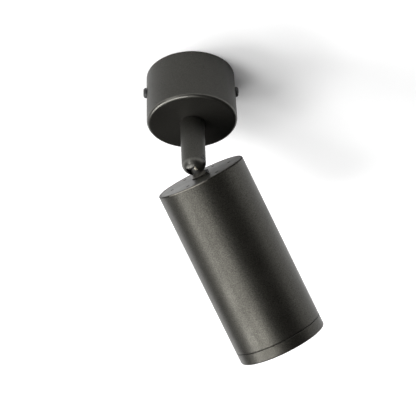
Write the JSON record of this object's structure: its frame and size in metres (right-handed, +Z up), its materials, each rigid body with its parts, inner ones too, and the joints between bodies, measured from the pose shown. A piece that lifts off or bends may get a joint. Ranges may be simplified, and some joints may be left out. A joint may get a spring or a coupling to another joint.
{
  "type": "surface mounted ceiling spotlight",
  "caption": "Black surface mounted ceiling spotlight: round canopy on a bracket, swivelling stem, tilting cylinder head, twist-lock reflector lamp behind a screwed front ring",
  "frame": {"origin": "centre of the cable hole in the ceiling face of the bracket, on the canopy's axis", "axes": "+Z up out of the ceiling face, +X along the bracket through its slots and ears, +Y to the terminal block"},
  "size_m": [0.1164, 0.1333, 0.1822],
  "materials": {
    "canopy_coat": "fine matte powder coat",
    "head_coat": "sandy matte powder coat",
    "black_screw": "black passivated",
    "zinc_plate": "zinc plated",
    "spring_steel": "plain",
    "brass": "machined",
    "copper": "stamped",
    "block_plastic": "moulded",
    "nylon": "moulded",
    "brown_insulation": "extruded",
    "blue_insulation": "extruded",
    "green_insulation": "extruded",
    "wire_sleeve": "soft",
    "bare_eye": "bare, machined",
    "holder_ceramic": "unglazed",
    "lamp_plastic": "moulded",
    "pin_metal": "nickel plated",
    "lamp_shell": "satin",
    "lamp_glass": "clear",
    "gasket_rubber": "soft"
  },
  "bodies": {
    "base": {"canopy": "canopy_coat", "mounting_bracket": "zinc_plate", "canopy_screws": "black_screw", "terminal_block": "block_plastic", "terminal_barrels": "brass", "terminal_screws": "zinc_plate", "block_screws": "zinc_plate", "earth_screw": "brass", "earth_washer": "zinc_plate", "live_lead": "brown_insulation", "neutral_lead": "blue_insulation", "earth_lead": "green_insulation", "bond_lead": "green_insulation", "stop_pin": "zinc_plate"},
    "stem": {"stem": "canopy_coat", "stem_nipple": "zinc_plate", "swivel_washer": "nylon", "friction_washer": "nylon", "stop_washer": "zinc_plate", "spring_washer": "spring_steel", "lock_nut": "zinc_plate", "pivot_screws": "black_screw", "stem_wire_sleeve": "wire_sleeve"},
    "head": {"swivel_eye": "bare_eye", "neck_collar": "head_coat", "collar_screw": "black_screw", "rear_cap": "head_coat", "head_tube": "head_coat", "eye_washer": "zinc_plate", "eye_nut": "zinc_plate", "earth_tag": "brass", "standoffs": "brass", "holder_plate": "zinc_plate", "plate_screws": "zinc_plate", "lampholder": "holder_ceramic", "holder_screws": "zinc_plate", "holder_contacts": "copper", "head_wire_sleeve": "wire_sleeve", "lamp_live_lead": "brown_insulation", "lamp_neutral_lead": "blue_insulation", "head_earth_lead": "green_insulation"},
    "lamp": {"lamp_base": "lamp_plastic", "lamp_pins": "pin_metal", "lamp_body": "lamp_shell", "lamp_lens": "lamp_glass"},
    "gasket": {"lamp_gasket": "gasket_rubber"},
    "ring": {"front_ring": "head_coat"}
  },
  "joints": [
    {"name": "swivel", "type": "hinge", "parent": "base", "child": "stem", "pos_m": [0, 0, -0.037], "axis": [0, 0, 1], "range_deg": [-168, 168]},
    {"name": "tilt", "type": "hinge", "parent": "stem", "child": "head", "pos_m": [0, 0, -0.069], "axis": [0.809, -0.5878, 0], "range_deg": [-47, 43]},
    {"name": "lamp_twist", "type": "hinge", "parent": "head", "child": "lamp", "pos_m": [0.0282, 0.03881, -0.11374], "axis": [0.4299, 0.5917, -0.682], "range_deg": [0, 20]},
    {"name": "gasket_slide", "type": "slide", "parent": "head", "child": "gasket", "axis": [0.4299, 0.5917, -0.682], "range_m": [0, 0.006]},
    {"name": "ring_turn", "type": "hinge", "parent": "gasket", "child": "ring", "pos_m": [0.05429, 0.07473, -0.15514], "axis": [0.4299, 0.5917, -0.682], "range_deg": [0, 1440]}
  ],
  "couplings": [
    {"joint": "gasket_slide", "follows": "ring_turn", "m_per_rad": 0.0002387}
  ]
}
